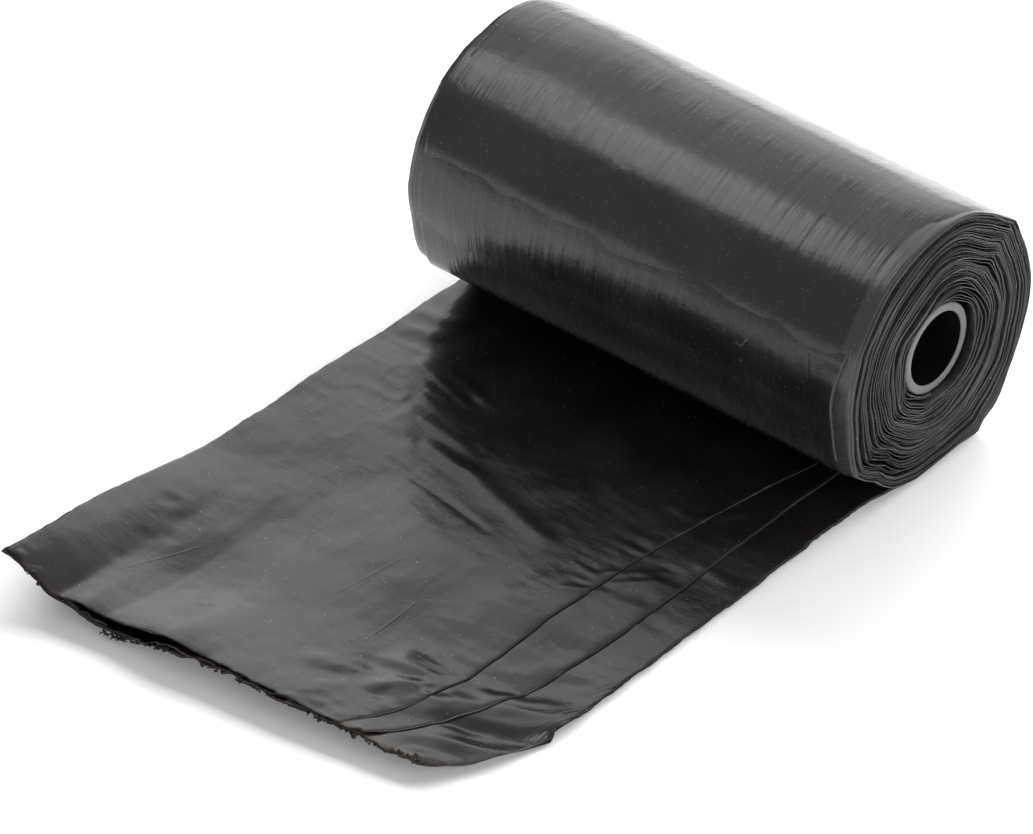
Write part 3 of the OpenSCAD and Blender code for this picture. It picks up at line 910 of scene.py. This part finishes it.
class BAGROLL_OT_torn_shreds(bpy.types.Operator):
    """Small stretched shreds of film along the torn edge"""
    bl_idname = "bagroll.torn_shreds"
    bl_label = "Torn shreds"

    def execute(self, context):
        form = form_of(context)
        random = np.random.default_rng(77)
        # Where the tear is frayed: from and to in X, how many shreds sit there and how large they are
        frays = [
            (-27.5, -25.0, 14, 0.4), (-17.5, -15.0, 18, 0.5), (-16.0, -9.0, 24, 0.4),
            (-10.0, -8.6, 10, 0.55), (-4.5, -1.0, 18, 0.45), (0.0, 8.0, 18, 0.4),
            (8.5, 23.0, 70, 0.42), (22.6, 24.4, 14, 0.6),
        ]
        meshes = []
        for low, high, count, size in frays:
            for _ in range(count):
                at_x = random.uniform(low, high)
                long, wide = size * random.uniform(0.5, 1.2), size * random.uniform(0.6, 1.3)
                heading = random.normal(-math.pi / 2, 0.6)
                curl, twist = random.uniform(-1.6, 1.6), random.uniform(-0.9, 0.9)
                start_y = float(form.tear(at_x)) + random.uniform(-0.2, 0.25)
                level = float(form.ply_height(at_x, 1.0, start_y))
                start_z = level + random.uniform(-0.05, 0.28)
                bumps = random.normal(0, 0.05 * size, (5, 4))

                def place(across, along):
                    s = across - 0.5
                    taper = 1 - 0.55 * along ** 1.5
                    bend = curl * along
                    forward = long * np.sinc(bend / np.pi) * along
                    up = long * 0.35 * along * np.sin(bend) + wide * s * taper * np.sin(twist * along * 2)
                    rough = bumps[np.rint(across * 4).astype(int), np.rint(along * 3).astype(int)]
                    off = wide * s * taper + 0.5 * rough
                    x = at_x + forward * math.cos(heading) - off * math.sin(heading)
                    y = start_y + forward * math.sin(heading) + off * math.cos(heading)
                    return x, y, np.maximum(start_z + up + rough, 0.03), x, y

                meshes.append(film_shell("shred", 4, 3, place, 0.07, 1))
        mesh = close_up(join_meshes("torn_shreds", meshes))
        add_piece("torn_shreds", mesh, torn_finish(look_of(context)), "bag_strip")
        return {"FINISHED"}


class BAGROLL_OT_core_ring(bpy.types.Operator):
    """The tube that the strip is wound on, with softened ends, and its bore in painted shade: a near-black dull
    finish inside
    """
    bl_idname = "bagroll.core_ring"
    bl_label = "Tube"

    def execute(self, context):
        roll = context.scene.bag_roll
        bore, outer = roll.bore_diameter / 2, roll.bore_diameter / 2 + roll.tube_wall
        middle_z = (TUBE_LOW.z + TUBE_HIGH.z) / 2
        bm = bmesh.new()
        corners = [(TUBE_LOW.x, bore), (TUBE_HIGH.x, bore), (TUBE_HIGH.x, outer), (TUBE_LOW.x, outer)]
        verts = [bm.verts.new((x, 0, r)) for x, r in corners]
        for k in range(4):
            bm.edges.new((verts[k], verts[(k + 1) % 4]))
        bmesh.ops.spin(bm, geom=bm.verts[:] + bm.edges[:], cent=(0, 0, 0), axis=(1, 0, 0),
                       angle=2 * math.pi, steps=96, use_merge=True)
        bmesh.ops.remove_doubles(bm, verts=bm.verts, dist=1e-6)
        bmesh.ops.recalc_face_normals(bm, faces=bm.faces)
        rims = [e for e in bm.edges if e.calc_face_angle(0) > 1.2]
        bmesh.ops.bevel(bm, geom=rims, offset=roll.tube_bevel, affect="EDGES",
                        segments=3, profile=0.5, material=-1)
        bmesh.ops.translate(bm, verts=bm.verts, vec=(0, 0, middle_z))
        # Faces inside the bore get the second material: near-black painted shade
        deep = bore + 0.4 * roll.tube_wall
        for face in bm.faces:
            face.smooth = True
            centre = face.calc_center_median()
            inside = math.hypot(centre.y, centre.z - middle_z) < deep and abs(face.normal.x) < 0.3
            face.material_index = 1 if inside else 0
        mesh = bpy.data.meshes.new("core_ring")
        bm.to_mesh(mesh)
        bm.free()
        look = look_of(context)
        plastic = tube_finish("tube_plastic", look.tube_colour, 0.48)
        piece = add_piece("core_ring", mesh, plastic, "core_tube")
        # Near-black dull finish on the bore: painted shade inside the tube
        piece.data.materials.append(tube_finish("tube_bore_painted_shade", look.painted_bore_shade_colour, 0.8))
        return {"FINISHED"}


def soft_lamp(name, toward, distance, size, radiance, glossy=True, diffuse=True):
    """A rectangular soft lamp that faces the roll from a direction, given by how bright its face is."""
    lamp = bpy.data.lights.new(name, "AREA")
    lamp.shape = "RECTANGLE"
    lamp.size, lamp.size_y = size
    lamp.energy = radiance * math.pi * size[0] * size[1]
    holder = bpy.data.objects.new(name, lamp)
    bpy.context.scene.collection.objects.link(holder)
    direction = Vector(toward).normalized()
    holder.location = Vector(LAMP_TARGET) + direction * distance
    holder.rotation_mode = "QUATERNION"
    holder.rotation_quaternion = direction.to_track_quat("Z", "Y")
    holder.visible_camera, holder.visible_glossy, holder.visible_diffuse = False, glossy, diffuse


class BAGROLL_OT_stage(bpy.types.Operator):
    """Pale floor, soft lamps and the camera"""
    bl_idname = "bagroll.stage"
    bl_label = "Stage"

    def execute(self, context):
        scene, stage = context.scene, context.scene.bag_stage
        scene.view_settings.view_transform = "Standard"
        bm = bmesh.new()
        bmesh.ops.create_grid(bm, x_segments=1, y_segments=1, size=FLOOR_HALF)
        bmesh.ops.translate(bm, verts=bm.verts, vec=(0, 0, -FLOOR_SINK))
        mesh = bpy.data.meshes.new("floor")
        bm.to_mesh(mesh)
        bm.free()
        mesh.materials.append(floor_finish(stage))
        floor = bpy.data.objects.new("floor", mesh)
        scene.collection.objects.link(floor)

        world = bpy.data.worlds.new("studio")
        scene.world = world
        world.use_nodes = True
        tree = world.node_tree
        tree.nodes.clear()
        rays = tree.nodes.new("ShaderNodeLightPath")
        strength = None
        shares = {"Is Camera Ray": 1 - stage.ambient, "Is Glossy Ray": stage.mirrored - stage.ambient,
                  "Is Transmission Ray": stage.mirrored - stage.ambient}
        for ray, share in shares.items():
            step = tree.nodes.new("ShaderNodeMath")
            step.operation = "MULTIPLY_ADD"
            tree.links.new(rays.outputs[ray], step.inputs[0])
            step.inputs[1].default_value = share
            step.inputs[2].default_value = stage.ambient
            if strength:
                tree.links.new(strength.outputs[0], step.inputs[2])
            strength = step
        sky = tree.nodes.new("ShaderNodeBackground")
        tree.links.new(strength.outputs[0], sky.inputs["Strength"])
        sky.inputs["Color"].default_value = (1, 1, 1, 1)
        out = tree.nodes.new("ShaderNodeOutputWorld")
        tree.links.new(sky.outputs[0], out.inputs["Surface"])

        soft_lamp("side_softbox", (-0.53, -0.12, 0.84), 0.60, (0.34, 0.20), 2.8, diffuse=False)
        soft_lamp("top_softbox", (-0.50, 0.26, 0.79), 0.90, (0.50, 0.36), 0.75)
        soft_lamp("back_softbox", (-0.42, 0.78, 0.40), 0.80, (0.80, 0.54), 1.4)
        soft_lamp("rear_strip", (-0.12, 0.74, 0.66), 0.80, (1.40, 0.34), 8.4, glossy=False)
        soft_lamp("right_softbox", (0.93, -0.08, 0.36), 0.80, (0.70, 0.60), 2.3)

        lens = bpy.data.cameras.new("camera")
        lens.lens, lens.sensor_width = stage.lens, SENSOR_WIDTH
        lens.clip_start, lens.clip_end = 0.01, 50
        camera = bpy.data.objects.new("camera", lens)
        scene.collection.objects.link(camera)
        forward = Vector(CAMERA_TOWARD).normalized()
        right = forward.cross(Vector((0, 0, 1))).normalized()
        up = right.cross(forward)
        turn = Matrix((right, up, -forward)).transposed()
        turn = turn @ Matrix.Rotation(CAMERA_ROLL, 3, "Z")
        camera.matrix_world = Matrix.Translation(CAMERA_PLACE) @ turn.to_4x4()
        scene.camera = camera
        return {"FINISHED"}


class BAGROLL_PT_panel(bpy.types.Panel):
    """Buttons for each piece and the sizes they follow"""
    bl_idname = "BAGROLL_PT_panel"
    bl_label = "Bag Roll"
    bl_space_type = "VIEW_3D"
    bl_region_type = "UI"
    bl_category = "Bag Roll"

    def draw(self, context):
        for step in STEPS:
            self.layout.operator(step.bl_idname)
        for group in ("bag_roll", "bag_strip", "bag_finish", "bag_stage"):
            settings = getattr(context.scene, group)
            box = self.layout.box()
            for name in settings.__annotations__:
                box.prop(settings, name)


STEPS = (
    BAGROLL_OT_core_ring, BAGROLL_OT_outer_film, BAGROLL_OT_loose_plies,
    BAGROLL_OT_wound_turns, BAGROLL_OT_torn_shreds, BAGROLL_OT_stage,
)
GROUPS = {
    "bag_roll": BagRollSizes, "bag_strip": BagStripSizes,
    "bag_finish": BagRollFinish, "bag_stage": BagRollStage,
}


def register():
    for cls in (*GROUPS.values(), *STEPS, BAGROLL_PT_panel):
        bpy.utils.register_class(cls)
    for name, group in GROUPS.items():
        setattr(bpy.types.Scene, name, bpy.props.PointerProperty(type=group))


def unregister():
    for name in GROUPS:
        delattr(bpy.types.Scene, name)
    for cls in (BAGROLL_PT_panel, *reversed(STEPS), *GROUPS.values()):
        bpy.utils.unregister_class(cls)


def main():
    register()
    for step in STEPS:
        group, name = step.bl_idname.split(".")
        getattr(getattr(bpy.ops, group), name)()
    bpy.context.view_layer.update()


if __name__ == "__main__":
    main()
